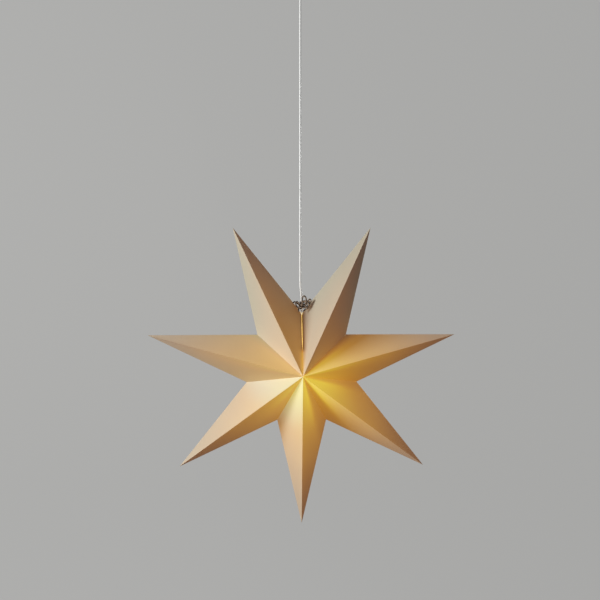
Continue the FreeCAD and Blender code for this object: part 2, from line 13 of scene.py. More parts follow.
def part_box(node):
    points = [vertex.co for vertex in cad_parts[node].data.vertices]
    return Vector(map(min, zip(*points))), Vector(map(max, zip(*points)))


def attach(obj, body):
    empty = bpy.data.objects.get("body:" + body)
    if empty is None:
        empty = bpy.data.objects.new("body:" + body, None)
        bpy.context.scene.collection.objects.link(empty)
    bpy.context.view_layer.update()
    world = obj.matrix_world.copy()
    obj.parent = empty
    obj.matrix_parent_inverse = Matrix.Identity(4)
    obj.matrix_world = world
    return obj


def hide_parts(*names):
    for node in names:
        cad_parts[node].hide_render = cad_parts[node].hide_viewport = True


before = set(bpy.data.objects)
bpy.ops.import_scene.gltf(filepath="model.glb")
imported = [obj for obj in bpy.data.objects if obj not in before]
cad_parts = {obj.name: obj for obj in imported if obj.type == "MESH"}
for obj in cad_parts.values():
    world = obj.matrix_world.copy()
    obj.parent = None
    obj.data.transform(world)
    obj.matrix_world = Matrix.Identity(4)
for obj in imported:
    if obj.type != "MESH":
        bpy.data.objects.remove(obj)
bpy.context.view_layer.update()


# ---------------------------------------------------------------------------
# The seven points. Each is one sheet of cream card, scored and folded into a
# hollow four-sided spike and glued along its back ridge. Its folded-in tabs
# are glued to the next point's. The bulb inside shines through the card.
# ---------------------------------------------------------------------------
PLACES = ("top_right", "right", "lower_right", "bottom", "lower_left", "left", "top_left")
HALF_SHARE = math.pi / len(PLACES)
TIP_RADIUS = 0.358
NOTCH_RADIUS = 0.129
HALF_DEPTH = 0.102
TAB_WIDTH = 0.009
CARD_THICKNESS = 0.00045
SEAM_SETBACK = 0.0006
GLUE_LINE = 0.00003
CORD_NOTCH = 0.0032
TIE_HOLE = 0.0019
TIE_SETBACK = 0.031
UP = Vector((0, 0, 1))
star_low, star_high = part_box("point_bottom")
star_middle = Vector(((star_low.x + star_high.x) / 2, 0, star_low.z + TIP_RADIUS))
notch = star_middle + UP * NOTCH_RADIUS


def add_node(tree, kind, inputs=(), **settings):
    """Adds a shader or geometry node; an input is a number, a colour or another node's socket."""
    made = tree.nodes.new(kind)
    for name, setting in settings.items():
        setattr(made, name, setting)
    for name, given in dict(inputs).items():
        if isinstance(given, bpy.types.NodeSocket):
            tree.links.new(given, made.inputs[name])
        else:
            made.inputs[name].default_value = given
    return made


def maths(tree, operation, *given):
    """One Math node's result."""
    return add_node(tree, "ShaderNodeMath", enumerate(given), operation=operation).outputs[0]


def product(tree, first, *others):
    """Numbers multiplied together."""
    for other in others:
        first = maths(tree, "MULTIPLY", first, other)
    return first


def rest_of(tree, share):
    """What is left of one when a share is taken away."""
    return maths(tree, "SUBTRACT", 1.0, share)


def ramp(tree, value, source, target=(0.0, 1.0), ease="LINEAR"):
    """Carries a number from one range to another, and holds it at both ends."""
    return add_node(tree, "ShaderNodeMapRange", {
        "Value": value, "From Min": source[0], "From Max": source[1], "To Min": target[0], "To Max": target[1],
    }, interpolation_type=ease).outputs[0]


def vector_maths(tree, operation, *given, **scale):
    """One Vector Math node's result: a number for a length or a dot product, and a vector for the rest."""
    made = add_node(tree, "ShaderNodeVectorMath", {**dict(enumerate(given)), **scale}, operation=operation)
    return made.outputs["Value" if operation in ("LENGTH", "DISTANCE", "DOT_PRODUCT") else "Vector"]


def split(tree, vector):
    """A vector's x, y and z."""
    return add_node(tree, "ShaderNodeSeparateXYZ", {0: vector}).outputs


def blend(tree, share, first, second, kind="RGBA"):
    """From one number, vector or colour to a second, by a share of it."""
    one, two, result = {"FLOAT": (2, 3, 0), "VECTOR": (4, 5, 1), "RGBA": (6, 7, 2)}[kind]
    return add_node(tree, "ShaderNodeMix", {0: share, one: first, two: second}, data_type=kind).outputs[result]


def own_place(tree):
    """Where a spot lies, in the object's own coordinates."""
    return add_node(tree, "ShaderNodeTexCoord").outputs["Object"]


def new_group(kind, name, inputs, outputs):
    """An empty shader or geometry group with named sockets, and what its two ends hold."""
    tree = bpy.data.node_groups.new(name, kind)
    for in_out, sockets in (("INPUT", inputs), ("OUTPUT", outputs)):
        for label, socket_kind in sockets:
            tree.interface.new_socket(label, in_out=in_out, socket_type=f"NodeSocket{socket_kind}")
    return tree, tree.nodes.new("NodeGroupInput").outputs, tree.nodes.new("NodeGroupOutput").inputs


def new_material(name, **plain):
    """A material with its Principled shader, whose plain sockets are set directly."""
    material = bpy.data.materials.new(name)
    material.use_nodes = True
    shader = material.node_tree.nodes["Principled BSDF"]
    for label, setting in plain.items():
        shader.inputs[label.replace("_", " ")].default_value = setting
    return material, material.node_tree, shader


def use_group(tree, group, **given):
    """Places a shared effect in a material, with that material's own values."""
    made = add_node(tree, "ShaderNodeGroup", node_tree=group)
    for name, setting in given.items():
        made.inputs[name].default_value = setting
    return made.outputs


def grain_group(fine_detail=3.0, patch_detail=4.0):
    """Fine mottling and a little height, for anything pressed, moulded, rolled or spun."""
    tree, size, end = new_group("ShaderNodeTree", "fine_grain", [
        ("Size", "Float"), ("Patch", "Float"), ("Contrast", "Float"),
    ], [("Tone", "Float"), ("Height", "Float")])
    place = own_place(tree)
    fine, patch = (
        add_node(tree, "ShaderNodeTexNoise", {
            "Vector": place, "Scale": maths(tree, "DIVIDE", 1.0, size[label]), "Detail": detail}).outputs[0]
        for label, detail in (("Size", fine_detail), ("Patch", patch_detail))
    )
    swing = maths(tree, "SUBTRACT", maths(tree, "ADD", fine, patch), 1.0)
    tree.links.new(maths(tree, "ADD", product(tree, swing, size["Contrast"]), 1.0), end["Tone"])
    tree.links.new(fine, end["Height"])
    return tree


FINE_GRAIN = grain_group()


def tinted(tree, colour, tone):
    """A colour lightened and darkened by a tone near one."""
    return vector_maths(tree, "SCALE", colour, Scale=tone)


def give_bump(tree, shader, height, strength, distance):
    """Raises a surface by a height that varies over it."""
    bump = add_node(tree, "ShaderNodeBump", {"Height": height, "Strength": strength, "Distance": distance})
    tree.links.new(bump.outputs[0], shader.inputs["Normal"])


def card_material():
    """Cream card: matt, faintly pearled, and glowing gold where the bulb is near behind it."""
    material, tree, shader = new_material(
        "cream_card", Roughness=0.6, Specular_IOR_Level=0.35, Sheen_Weight=0.06, Emission_Strength=1.0)

    def m(operation, *given):
        return maths(tree, operation, *given)

    def times(*given):
        return product(tree, *given)

    def towards(x, z):
        """How well a spot's way from the middle agrees with a direction, alike on both sides."""
        return m("ADD", times(sideways, x), times(way_z, z))

    # What each spot knows: its nearness to a fold, how far its face looks left, and whether a lap is glued
    # behind it. The two top points lose these notes when they are punched, so there all three read 0.
    notes = add_node(tree, "ShaderNodeAttribute", attribute_name="sheet").outputs["Vector"]
    from_fold, looks_left, lapped = split(tree, notes)
    away = vector_maths(tree, "SUBTRACT", own_place(tree), tuple(star_middle))
    distance = vector_maths(tree, "LENGTH", away)
    aside, backwards, height = split(tree, away)
    way = vector_maths(tree, "NORMALIZE", vector_maths(tree, "MULTIPLY", away, (1, 0, 1)))
    way_x, _, way_z = split(tree, way)
    sideways = m("ABSOLUTE", way_x)

    # The outer ply is a little paler along its folds, over a small share of each face's breadth: some wear and a
    # painted highlight.
    wear_and_highlight_share, wear_and_highlight = 0.012, 1.04
    grain = use_group(tree, FINE_GRAIN, Size=0.0014, Patch=0.06, Contrast=0.05)
    tone = times(grain["Tone"], ramp(tree, from_fold, (0.0, wear_and_highlight_share), (wear_and_highlight, 1.0)))
    give_bump(tree, shader, grain["Height"], strength=0.12, distance=0.0003)

    # The bulb's light falls off with distance and with depth below the ridge. The bulb hangs a little low
    # and to the right, and its lampholder and the flex shade the card above.
    bulb_reach, bulb_lean, bulb_level = 0.093, (0.09, 0, -0.103), 0.332
    spread_light, ridge_light = 0.492, 1.82
    closeness = m("DIVIDE", bulb_reach, distance)
    closeness_squared = times(closeness, closeness)
    lean = vector_maths(tree, "DOT_PRODUCT", way, bulb_lean)
    near = times(closeness, m("ADD", lean, bulb_level))
    far = m("ADD", times(distance, spread_light), times(m("ABSOLUTE", backwards), ridge_light))
    above = ramp(tree, way_z, (0.5, 0.65), ease="SMOOTHSTEP")
    flex_shade = ramp(tree, way_x, (0.0, 0.25), (0.0, 0.13))
    holder_shade, all_round_shade = 0.114, 0.059
    shaded = m("ADD", times(above, m("ADD", times(flex_shade, closeness_squared), holder_shade)), all_round_shade)

    # The painted glow is made brighter on the top left point's inner face. Painted shade darkens it on the side
    # points' lower faces, and along the two lowest valleys where the glued tabs hold light back, more so on the
    # right. Faces that look squarely left are spared both shades.
    left_glow_most, left_glow_by_bulb = 0.12, 0.1
    inner_left = times(above, m("LESS_THAN", way_x, 0.0), ramp(tree, way_x, (-0.46, -0.42)))
    painted_left_glow = times(inner_left, m("SUBTRACT", left_glow_most, times(closeness, left_glow_by_bulb)))
    low_side, low_valley = towards(0.995, -0.10), towards(0.434, -0.901)
    side_shade, valley_shade, valley_more_right, squarely_left = 0.145, 0.16, 0.12, 0.5
    painted_side_shade = ramp(tree, low_side, (0.955, 0.99), (0.0, side_shade), ease="SMOOTHSTEP")
    in_valley = ramp(tree, low_valley, (0.969, 0.997), ease="SMOOTHSTEP")
    painted_valley_shade = times(in_valley, m("ADD", times(way_x, valley_more_right), valley_shade))
    painted_low_shade = times(m("ADD", painted_side_shade, painted_valley_shade), m("LESS_THAN", looks_left, squarely_left))
    shaded = m("ADD", m("SUBTRACT", shaded, painted_left_glow), times(painted_low_shade, closeness_squared))
    glow = m("MAXIMUM", m("SUBTRACT", m("ADD", near, far), shaded), 0.0)
    at_tip = 0.62
    glow = times(glow, ramp(tree, distance, (0.2, 0.32), (1.0, at_tip)), grain["Tone"])

    # Two plies of card let less through along the glued lap.
    lap_shade = 0.45
    glow = times(glow, rest_of(tree, times(lapped, lap_shade)))

    # Beside the open seam the card gets a painted shade of brown, and where the seam closes a painted glow runs
    # along its glue line.
    seam_width, seam_shade, seam_glow = 0.005, 0.5, 0.13
    spread = m("DIVIDE", m("ABSOLUTE", aside), seam_width)
    beside_seam = times(m("GREATER_THAN", height, 0.0), m("EXPONENT", times(spread, spread, -1.0)))
    opened = ramp(tree, height, (0.047, 0.056))
    painted_seam_shade = times(beside_seam, opened)
    lit_seam = times(beside_seam, rest_of(tree, opened), seam_glow)
    glow = m("ADD", times(glow, rest_of(tree, times(painted_seam_shade, seam_shade))), lit_seam)

    # Faces that look mostly up or down, and the top left point's inner one, are painted yellower towards the bulb:
    # painted bulb light in the base colour.
    cream, painted_seam_brown, bulb_lit_cream = (0.775, 0.735, 0.565, 1), (0.26, 0.17, 0.02, 1), (0.775, 0.685, 0.40, 1)
    upright = ramp(tree, m("ABSOLUTE", looks_left), (0.40, 0.50), (1.0, 0.0))
    below_top = ramp(tree, way_z, (0.61, 0.63), (1.0, 0.0))
    painted_bulb_yellow = m("MAXIMUM", times(upright, below_top), inner_left)
    inwards = ramp(tree, distance, (0.11, 0.30), (1.0, 0.0))
    # The base colour carries the seam's painted brown shade and the painted bulb yellow.
    outer = blend(tree, times(painted_bulb_yellow, inwards), blend(tree, painted_seam_shade, cream, painted_seam_brown), bulb_lit_cream)
    tree.links.new(tinted(tree, outer, tone), shader.inputs["Base Color"])

    # The glow is amber where it is faint and gold where it is strong. On the front's two brightest faces,
    # low on the left, it pales towards white near the middle.
    facing_left = ramp(tree, looks_left, (0.36, 0.60), ease="SMOOTHSTEP")
    by_bulb = ramp(tree, distance, (0.15, 0.09), ease="SMOOTHSTEP")
    in_front = m("LESS_THAN", backwards, 0.0)
    paled = times(facing_left, by_bulb, in_front, rest_of(tree, above))
    amber_green, gold_green, blue_share = 0.72, 0.93, 0.1
    green = times(m("POWER", glow, 1.5), ramp(tree, glow, (0.35, 0.6), (amber_green, gold_green)))
    blue = times(m("POWER", glow, 3.0), blue_share)
    less_red, more_green, more_blue = 0.085, 0.06, 0.12
    gold = add_node(tree, "ShaderNodeCombineColor", {
        0: m("SUBTRACT", glow, times(paled, less_red)),
        1: m("ADD", green, times(paled, more_green)),
        2: m("ADD", blue, times(paled, more_blue))})
    tree.links.new(gold.outputs[0], shader.inputs["Emission Color"])
    return material


def card_inside_material():
    """The same card's inner side, flooded with the bulb's light."""
    material, tree, shader = new_material(
        "card_inside", Roughness=0.65, Specular_IOR_Level=0.3, Emission_Strength=1.0)
    grain = use_group(tree, FINE_GRAIN, Size=0.0014, Patch=0.06, Contrast=0.06)
    tree.links.new(tinted(tree, (0.80, 0.72, 0.52), grain["Tone"]), shader.inputs["Base Color"])
    place = own_place(tree)
    away = vector_maths(tree, "DISTANCE", place, tuple(star_middle))
    # The light fades with distance, and the lampholder and the flex shade the card above them.
    light_reach, light_level, in_shade = 0.22, 1.75, 0.3
    height = maths(tree, "SUBTRACT", split(tree, place)[2], star_middle.z)
    open_to_bulb = ramp(tree, height, (0.092, 0.116), (1.0, in_shade))
    fading = maths(tree, "EXPONENT", maths(tree, "DIVIDE", away, -light_reach))
    level = product(tree, fading, product(tree, open_to_bulb, light_level))
    tree.links.new(tinted(tree, (1.0, 0.76, 0.30), level), shader.inputs["Emission Color"])
    return material


CARD = card_material()
CARD_INSIDE = card_inside_material()


def folded_point_tree(facet_columns=12, tab_rows=2, rows=30):
    """Folds a flat grid into one point. The grid runs round the point from its back ridge,
    and up it: first the tabs, from their free edges to the valleys, and then the four faces."""
    tree, size, end = new_group("GeometryNodeTree", "folded_point", [
        ("Geometry", "Geometry"), ("Tip Radius", "Float"), ("Notch Radius", "Float"), ("Half Depth", "Float"),
        ("Half Share", "Float"), ("Tab Width", "Float"), ("Turn", "Float"), ("Middle", "Vector"),
        ("Right Setback", "Float"), ("Left Setback", "Float"), ("Dish", "Float"), ("Ripple", "Float"),
        ("Seed", "Float"), ("Lap Width", "Float"), ("Card", "Material"),
    ], [("Geometry", "Geometry")])
    faces = 4
    hair = 0.001

    def m(operation, *given):
        return maths(tree, operation, *given)

    def times(*given):
        return product(tree, *given)

    def arch(share):
        """Nought at both ends of a share, and one half way."""
        return times(share, rest_of(tree, share), 4.0)

    def vector(x, y, z):
        return add_node(tree, "ShaderNodeCombineXYZ", {0: x, 1: y, 2: z}).outputs[0]

    def turned_round(start):
        """Turned about the star's own axis, to this point's place among the seven."""
        return add_node(tree, "ShaderNodeVectorRotate", {
            "Vector": start, "Axis": (0, 1, 0), "Angle": size["Turn"]}, rotation_type="AXIS_ANGLE").outputs[0]

    grid = add_node(tree, "GeometryNodeMeshGrid", {
        "Size X": 1.0, "Size Y": 1.0, "Vertices X": faces * facet_columns + 1, "Vertices Y": tab_rows + rows + 1})
    spot = split(tree, add_node(tree, "GeometryNodeInputPosition").outputs[0])
    around = times(m("ADD", spot[0], 0.5), float(faces))
    up = m("ADD", spot[1], 0.5)
    valley_row = tab_rows / (tab_rows + rows)

    # Gaps are cut between the tabs, at each end of every valley.
    gap_columns = 1.9
    off_middle = m("ABSOLUTE", m("SUBTRACT", m("FRACT", around), 0.5))
    gap = times(m("GREATER_THAN", off_middle, 0.5 - gap_columns / facet_columns), m("LESS_THAN", up, valley_row))
    cut = add_node(tree, "GeometryNodeDeleteGeometry", {"Geometry": grid.outputs["Mesh"], "Selection": gap},
                   domain="FACE")

    # Columns crowd towards the folds, so that each fold is rounded and the faces stay flat. The tabs' ends
    # are bevelled.
    tab_bevel = 0.15
    at_fold = m("LESS_THAN", m("ABSOLUTE", m("SUBTRACT", around, m("ROUND", around))), hair)
    facet = m("FLOOR", m("ADD", around, times(at_fold, 10 * hair)))
    across = times(rest_of(tree, at_fold), m("FRACT", around))
    eased = ramp(tree, across, (0.0, 1.0), ease="SMOOTHERSTEP")
    down_tab = m("MAXIMUM", 0.0, rest_of(tree, m("DIVIDE", up, valley_row)))
    up_face = m("MAXIMUM", 0.0, m("DIVIDE", m("SUBTRACT", up, valley_row), 1 - valley_row))
    bevelled = times(m("SUBTRACT", eased, 0.5), rest_of(tree, times(down_tab, tab_bevel)))
    place = m("ADD", facet, m("ADD", 0.5, bevelled))

    def weight(corner):
        return m("MAXIMUM", 0.0, rest_of(tree, m("ABSOLUTE", m("SUBTRACT", place, corner))))

    # The folds start at the back apex, the right notch, the front apex and the left notch.
    fold_rounding = 0.004
    back, right, front, left = m("ADD", weight(0.0), weight(float(faces))), weight(1.0), weight(2.0), weight(3.0)
    sine, cosine = m("SINE", size["Half Share"]), m("COSINE", size["Half Share"])
    notch_x, notch_z = times(size["Notch Radius"], sine), times(size["Notch Radius"], cosine)
    softened = rest_of(tree, times(at_fold, fold_rounding))
    base = vector(
        times(m("SUBTRACT", right, left), notch_x, softened),
        times(m("SUBTRACT", back, front), size["Half Depth"], softened),
        times(m("ADD", right, left), notch_z))

    # Tabs run inwards, square to their valley, in the plane shared with the next point. The first two
    # faces are the right side's, and so is the last column, which is the first one again.
    on_right = m("MAXIMUM", m("LESS_THAN", around, 2 + hair), m("GREATER_THAN", around, faces - hair))
    side = m("SUBTRACT", times(on_right, 2.0), 1.0)
    on_front = m("LESS_THAN", m("ABSOLUTE", m("SUBTRACT", place, 2.0)), 1.0)
    facing = rest_of(tree, times(on_front, 2.0))
    valley = m("SQRT", m("ADD", m("POWER", size["Notch Radius"], 2.0), m("POWER", size["Half Depth"], 2.0)))
    inward = m("DIVIDE", times(down_tab, size["Tab Width"]), valley)
    sink = times(inward, size["Half Depth"], -1.0)
    tab = vector(
        times(sink, sine, side),
        times(times(inward, size["Notch Radius"]), times(facing, -1.0)),
        times(sink, cosine))

    # Every line up a face runs to the tip, from just inside that shared plane.
    # An open seam closes up towards the star's middle.
    setback = blend(tree, on_right, size["Left Setback"], size["Right Setback"], kind="FLOAT")
    opened = ramp(tree, m("ADD", right, left), (0.40, 0.56), ease="SMOOTHSTEP")
    setback = m("ADD", times(m("SUBTRACT", setback, GLUE_LINE), opened), GLUE_LINE)
    begin = m("DIVIDE", setback, times(size["Tip Radius"], sine))
    climb = m("ADD", begin, times(rest_of(tree, begin), up_face))
    low = vector_maths(tree, "ADD", base, tab)
    straight = blend(tree, climb, low, vector(0.0, 0.0, size["Tip Radius"]), kind="VECTOR")

    # Each face bows in a little between its folds, with a slow ripple of its own.
    ripples_round, ripples_up, next_ripple = 1.7, 3.0, 7.3
    reach = m("DIVIDE", times(notch_x, size["Tip Radius"]), m("SUBTRACT", size["Tip Radius"], notch_z))
    outward = vector_maths(tree, "NORMALIZE", vector(
        m("DIVIDE", side, reach), m("DIVIDE", facing, size["Half Depth"]), m("DIVIDE", 1.0, size["Tip Radius"])))
    wander = add_node(tree, "ShaderNodeTexNoise", {
        "Vector": vector(times(place, ripples_round), times(up_face, ripples_up), times(size["Seed"], next_ripple)),
        "Scale": 1.0, "Detail": 1.0}).outputs[0]
    ripple = times(m("SUBTRACT", wander, 0.5), size["Ripple"])
    bow = times(m("SUBTRACT", ripple, size["Dish"]), times(arch(eased), arch(up_face)))
    bowed = vector_maths(tree, "ADD", straight, vector_maths(tree, "SCALE", outward, Scale=bow))
    placed = vector_maths(tree, "ADD", turned_round(bowed), size["Middle"])

    # The sheet notes how near each spot is to a fold, how far its face looks left, and whether a lap is
    # glued behind it.
    from_fold = m("MINIMUM", eased, rest_of(tree, eased))
    looks_left = times(split(tree, turned_round(outward))[0], -1.0)
    lap_share = m("DIVIDE", size["Lap Width"], times(valley, m("SUBTRACT", 1 + hair, up_face)))
    lapped = m("GREATER_THAN", place, m("SUBTRACT", float(faces), lap_share))
    noted = add_node(tree, "GeometryNodeStoreNamedAttribute", {
        "Geometry": cut.outputs[0], "Name": "sheet", "Value": vector(from_fold, looks_left, lapped),
    }, data_type="FLOAT_VECTOR", domain="POINT")
    shaped = add_node(tree, "GeometryNodeSetPosition", {"Geometry": noted.outputs[0], "Position": placed})
    flipped = add_node(tree, "GeometryNodeFlipFaces", {"Mesh": shaped.outputs[0]})
    closed = add_node(tree, "GeometryNodeMergeByDistance", {"Geometry": flipped.outputs[0], "Distance": 0.00002})
    whole = add_node(tree, "GeometryNodeRealizeInstances", {"Geometry": closed.outputs[0]})
    finished = add_node(tree, "GeometryNodeSetMaterial", {"Geometry": whole.outputs[0], "Material": size["Card"]})
    tree.links.new(finished.outputs[0], end[0])
    return tree


def place_object(name, data):
    """Puts a mesh, curve, lamp or camera in the scene."""
    made = bpy.data.objects.new(name, data)
    bpy.context.scene.collection.objects.link(made)
    return made


def grow(start, tree, **given):
    """Puts a geometry tree on an object, with that object's own sizes."""
    modifier = start.modifiers.new(tree.name, "NODES")
    modifier.node_group = tree
    for item in tree.interface.items_tree:
        label = item.name.replace(" ", "_")
        if item.in_out == "INPUT" and label in given:
            modifier[item.identifier] = given[label]


def settled(start):
    """The object as its modifiers leave it, with a plain mesh of its own."""
    name = start.name
    shown = start.evaluated_get(bpy.context.evaluated_depsgraph_get())
    mesh = bpy.data.meshes.new_from_object(shown)
    bpy.data.objects.remove(start)
    mesh.name = name
    return place_object(name, mesh)


def punch_out(piece, spot, way, before, after, radius):
    """Cuts a round hole through a spot, from a length before it to a length after it."""
    low, high = spot - way * before, spot + way * after
    mesh = bpy.data.meshes.new("punch")
    shape = bmesh.new()
    along = high - low
    turn = along.to_track_quat("Z", "Y").to_matrix().to_4x4()
    bmesh.ops.create_cone(shape, cap_ends=True, segments=24, radius1=radius, radius2=radius,
                          depth=along.length, matrix=Matrix.Translation((low + high) / 2) @ turn)
    shape.to_mesh(mesh)
    shape.free()
    punch = place_object("punch", mesh)
    cut = piece.modifiers.new("punch", "BOOLEAN")
    cut.object = punch
    cut.solver = "EXACT"
    return punch


def end_point_ways(hand):
    """The ways along an end point's edge at the seam and square out of it; hand is 1 on the right."""
    along = Vector((hand * math.sin(EDGE_TURN), 0, math.cos(EDGE_TURN)))
    return along, Vector((-hand * along.z, 0, hand * along.x))


FOLDED_POINT = folded_point_tree()
fold_reach = NOTCH_RADIUS * math.sin(HALF_SHARE) / (1 - NOTCH_RADIUS * math.cos(HALF_SHARE) / TIP_RADIUS)
EDGE_TURN = HALF_SHARE + math.atan(fold_reach / TIP_RADIUS)
SEAM_HANDS = {"top_right": 1, "top_left": -1}
SHARP_FOLD = math.radians(48)
for number, name in enumerate(PLACES):
    start = place_object("start", bpy.data.meshes.new("start"))
    grow(start, FOLDED_POINT, Tip_Radius=TIP_RADIUS, Notch_Radius=NOTCH_RADIUS, Half_Depth=HALF_DEPTH,
         Half_Share=HALF_SHARE, Tab_Width=TAB_WIDTH, Turn=(2 * number + 1) * HALF_SHARE, Middle=star_middle,
         Right_Setback=SEAM_SETBACK if name == "top_left" else GLUE_LINE,
         Left_Setback=SEAM_SETBACK if name == "top_right" else GLUE_LINE,
         Dish=0.0006, Ripple=0.0012, Seed=float(number), Lap_Width=0.011, Card=CARD)
    point = settled(start)
    point.name = f"folded_{name}"
    point.data.materials.append(CARD_INSIDE)
    thick = point.modifiers.new("thickness", "SOLIDIFY")
    thick.thickness = CARD_THICKNESS
    thick.offset = -1
    thick.material_offset = 1
    punches = []
    if name in SEAM_HANDS:
        along, out = end_point_ways(SEAM_HANDS[name])
        punches.append(punch_out(point, notch + along * TIE_SETBACK, out, 0.004, 0.006, TIE_HOLE))
        punches.append(punch_out(point, notch, UP, 0.02, 0.03, CORD_NOTCH))
    point = settled(point)
    for punch in punches:
        bpy.data.objects.remove(punch)
    point.data.shade_smooth()
    point.data.set_sharp_from_angle(angle=SHARP_FOLD)
    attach(point, "root")
    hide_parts(f"point_{name}")


# ---------------------------------------------------------------------------
# The lampholder: a two-part moulded shell over a ceramic insert, with a
# pressed brass sleeve and contact. A slotted nylon screw in its neck pinches
# the flex.
# ---------------------------------------------------------------------------
def moulded_material(name, colour, roughness, grain_size):
    """Moulded plastic: even, with a fine spark-eroded texture and faint flow clouds."""
    material, tree, shader = new_material(name, Roughness=roughness)
    grain = use_group(tree, FINE_GRAIN, Size=grain_size, Patch=0.02, Contrast=0.05)
    tree.links.new(tinted(tree, colour, grain["Tone"]), shader.inputs["Base Color"])
    give_bump(tree, shader, grain["Height"], strength=0.15, distance=0.0001)
    return material


def spun_metal(name, colour, roughness, tarnish):
    """Plated or bare metal, with fine turning rings and duller patches."""
    rings_turn = 42000.0  # radians of the rings' wave in a metre
    tarnished_share = 0.45
    tarnished = (*(tarnished_share * part for part in colour), 1.0)
    material, tree, shader = new_material(name, Metallic=1.0)
    grain = use_group(tree, FINE_GRAIN, Size=0.0008, Patch=0.006, Contrast=0.25)
    rings = maths(tree, "SINE", product(tree, split(tree, own_place(tree))[2], rings_turn))
    shade = blend(tree, product(tree, grain["Height"], tarnish), (*colour, 1.0), tarnished)
    tree.links.new(shade, shader.inputs["Base Color"])
    tree.links.new(product(tree, grain["Tone"], roughness), shader.inputs["Roughness"])
    give_bump(tree, shader, rings, strength=0.08, distance=0.00003)
    return material


def glazed_ceramic():
    """White steatite, part glazed, with small grey specks."""
    specks_a_metre, speck_radius, speck_shade, glaze = 600.0, 0.10, 0.25, 0.6
    material, tree, shader = new_material("insert_steatite", Roughness=0.3, Coat_Roughness=0.08)
    grain = use_group(tree, FINE_GRAIN, Size=0.0005, Patch=0.008, Contrast=0.08)
    from_speck = add_node(tree, "ShaderNodeTexVoronoi", {
        "Vector": own_place(tree), "Scale": specks_a_metre}).outputs["Distance"]
    speck = maths(tree, "LESS_THAN", from_speck, speck_radius)
    tone = maths(tree, "SUBTRACT", grain["Tone"], product(tree, speck, speck_shade))
    tree.links.new(tinted(tree, (0.83, 0.81, 0.76), tone), shader.inputs["Base Color"])
    tree.links.new(product(tree, grain["Height"], glaze), shader.inputs["Coat Weight"])
    return material


def dress(material, *nodes):
    """Gives CAD pieces their finish."""
    for node in nodes:
        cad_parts[node].data.materials[0] = material


holder_plastic = moulded_material("holder_plastic", (0.84, 0.83, 0.80), roughness=0.42, grain_size=0.0005)
screw_nylon = moulded_material("screw_nylon", (0.80, 0.79, 0.74), roughness=0.45, grain_size=0.0004)
sleeve_brass = spun_metal("sleeve_brass", (0.78, 0.58, 0.26), roughness=0.28, tarnish=0.5)
dress(holder_plastic, "lampholder_cap", "lampholder_barrel")
dress(glazed_ceramic(), "lampholder_insert")
dress(sleeve_brass, "lampholder_sleeve", "lampholder_contact")
dress(screw_nylon, "lampholder_screw")


# ---------------------------------------------------------------------------
# The bulb: a frosted glass globe cemented into a spun screw cap, sealed, and
# screwed up into the sleeve. It is lit.
# ---------------------------------------------------------------------------
BULB_CAP_LENGTH = 0.027


def lit_bulb():
    """Frosted glass below the neck, glowing warm, and plated metal above it."""
    glass_roughness, metal_roughness = 0.55, 0.30
    material, tree, shader = new_material("frosted_bulb", Emission_Strength=1.6)
    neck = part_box("bulb")[1].z - BULB_CAP_LENGTH
    grain = use_group(tree, FINE_GRAIN, Size=0.0006, Patch=0.01, Contrast=0.06)
    metal = maths(tree, "GREATER_THAN", split(tree, own_place(tree))[2], neck)
    glass_shade = tinted(tree, (0.95, 0.92, 0.85), grain["Tone"])
    tree.links.new(blend(tree, metal, glass_shade, (0.62, 0.62, 0.6, 1)), shader.inputs["Base Color"])
    tree.links.new(metal, shader.inputs["Metallic"])
    roughness = ramp(tree, metal, (0.0, 1.0), (glass_roughness, metal_roughness))
    tree.links.new(roughness, shader.inputs["Roughness"])
    glow = product(tree, rest_of(tree, metal), grain["Tone"])
    tree.links.new(tinted(tree, (1.0, 0.74, 0.38), glow), shader.inputs["Emission Color"])
    return material


dress(lit_bulb(), "bulb")


# ---------------------------------------------------------------------------
# The ceiling fitting: a moulded cup screwed to a zinc-plated crossbar, with
# the terminal block plugged into it and a bush that grips the flex below.
# ---------------------------------------------------------------------------
def zinc_plate():
    """Zinc-plated steel: pale grey, with a fine crystal pattern and duller spots."""
    crystals_a_metre, crystal_contrast, duller = 260.0, 0.16, 0.08
    roughness_swing, roughness_level = 0.18, 1.6
    material, tree, shader = new_material("zinc_plate", Metallic=1.0)
    crystals = add_node(tree, "ShaderNodeTexVoronoi", {
        "Vector": own_place(tree), "Scale": crystals_a_metre}).outputs["Color"]
    grain = use_group(tree, FINE_GRAIN, Size=0.0007, Patch=0.012, Contrast=0.2)
    lightness = add_node(tree, "ShaderNodeSeparateColor", {0: crystals}).outputs[0]
    tone = maths(tree, "ADD", product(tree, lightness, crystal_contrast), maths(
        tree, "SUBTRACT", grain["Tone"], duller))
    tree.links.new(tinted(tree, (0.62, 0.63, 0.65), tone), shader.inputs["Base Color"])
    roughness = product(tree, maths(tree, "ADD", lightness, roughness_level), roughness_swing)
    tree.links.new(roughness, shader.inputs["Roughness"])
    return material


cup_plastic = moulded_material("cup_plastic", (0.85, 0.85, 0.83), roughness=0.44, grain_size=0.0007)
block_plastic = moulded_material("block_plastic", (0.80, 0.79, 0.73), roughness=0.5, grain_size=0.0004)
terminal_brass = spun_metal("terminal_brass", (0.74, 0.60, 0.32), roughness=0.32, tarnish=0.6)
dress(cup_plastic, "ceiling_cup", "cord_grip", "grip_nut")
dress(zinc_plate(), "crossbar", "cup_screw_left", "cup_screw_right")
dress(block_plastic, "terminal_block")
dress(terminal_brass, "terminal_screw_left", "terminal_screw_right")
dress(screw_nylon, "grip_screw")


# ---------------------------------------------------------------------------
# The flex: round white two-core cable, straight down from the ceiling and
# stepping aside where the ties hold it, pinched in the lampholder's neck.
# ---------------------------------------------------------------------------
FLEX_WIDTH = 0.004
FLEX_ROUTE = [
    (0, 0, -0.0085), (0, 0, -0.679), (0, 0, -0.705),
    (0.0035, 0, -0.731), (0.0035, 0, -0.829),
]


